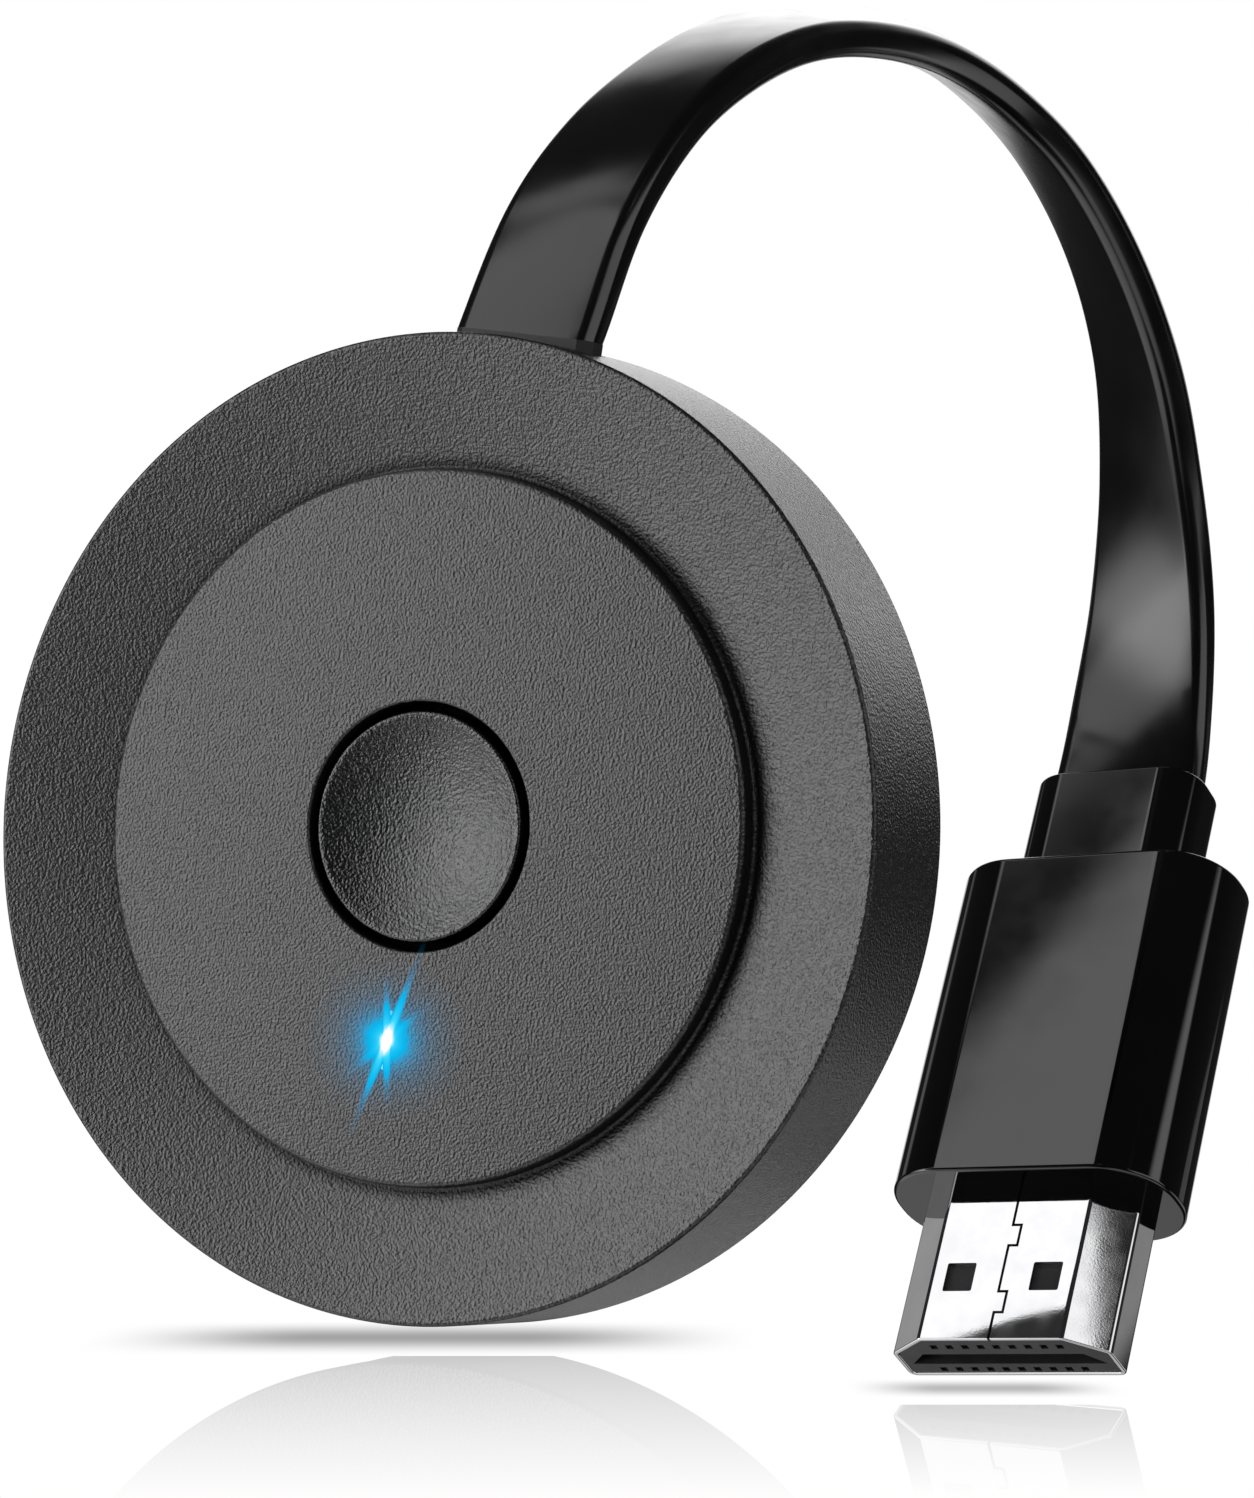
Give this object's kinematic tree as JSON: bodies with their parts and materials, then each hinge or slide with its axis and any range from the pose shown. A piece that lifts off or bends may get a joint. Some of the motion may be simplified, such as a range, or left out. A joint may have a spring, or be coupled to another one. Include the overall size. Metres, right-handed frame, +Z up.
{
  "type": "wireless hdmi display adapter",
  "caption": "Round wireless display adapter with a dished front, a centre button and a status light, on a short flat cable with a metal display plug.",
  "frame": {"origin": "middle of the plug's open end, where the plug goes into the port that holds the adapter", "axes": "+Y is the axis of the round housing, away from the viewer, so the button faces -Y; +Z is up in the housing's own upright, with the cable leaving its top; +X is to the right seen from the front"},
  "size_m": [0.0561, 0.0654, 0.0798],
  "materials": {
    "housing": "fine moulded grain",
    "gloss_black": "glossy moulding",
    "cable_black": "glossy extruded jacket",
    "nickel": "nickel plated sheet",
    "gold": "gold flashed contacts",
    "dark_plastic": "moulded insulator",
    "board_green": "solder mask",
    "light_blue": "clear moulded light pipe",
    "white_plastic": "moulded",
    "plain_metal": "rolled sheet",
    "soft_black": "soft moulding"
  },
  "bodies": {
    "adapter": {"front_shell": "housing", "rear_cover": "housing", "switch_body": "dark_plastic", "switch_dome": "plain_metal", "light_pipe": "light_blue", "light_chip": "white_plastic", "main_board": "board_green", "processor": "dark_plastic", "memory_chip": "dark_plastic", "radio_can": "plain_metal", "radio_chip": "dark_plastic", "aerial": "white_plastic", "power_coil": "dark_plastic", "crystal": "plain_metal", "small_parts": "white_plastic", "thermal_pad": "soft_black", "heat_spreader": "plain_metal", "socket_shell": "nickel", "socket_tongue": "dark_plastic", "socket_pads": "gold", "cable_gland": "soft_black", "cable_wires": "cable_black", "display_cable": "cable_black", "plug_collar": "gloss_black", "plug_grip": "gloss_black", "plug_premould": "white_plastic", "plug_shell": "nickel", "plug_insert": "dark_plastic", "front_contacts": "gold", "back_contacts": "gold"},
    "button": {"button_cap": "housing"},
    "plunger": {"switch_plunger": "white_plastic"}
  },
  "joints": [
    {"name": "button_press", "type": "slide", "parent": "adapter", "child": "button", "axis": [0, 1, 0], "range_m": [0, 0.0003], "stiffness_N_per_m": 300, "springref_m": -0.002},
    {"name": "plunger_press", "type": "slide", "parent": "adapter", "child": "plunger", "axis": [0, 1, 0], "range_m": [0, 0.0003]}
  ],
  "couplings": [
    {"joint": "plunger_press", "follows": "button_press", "ratio": 1}
  ]
}
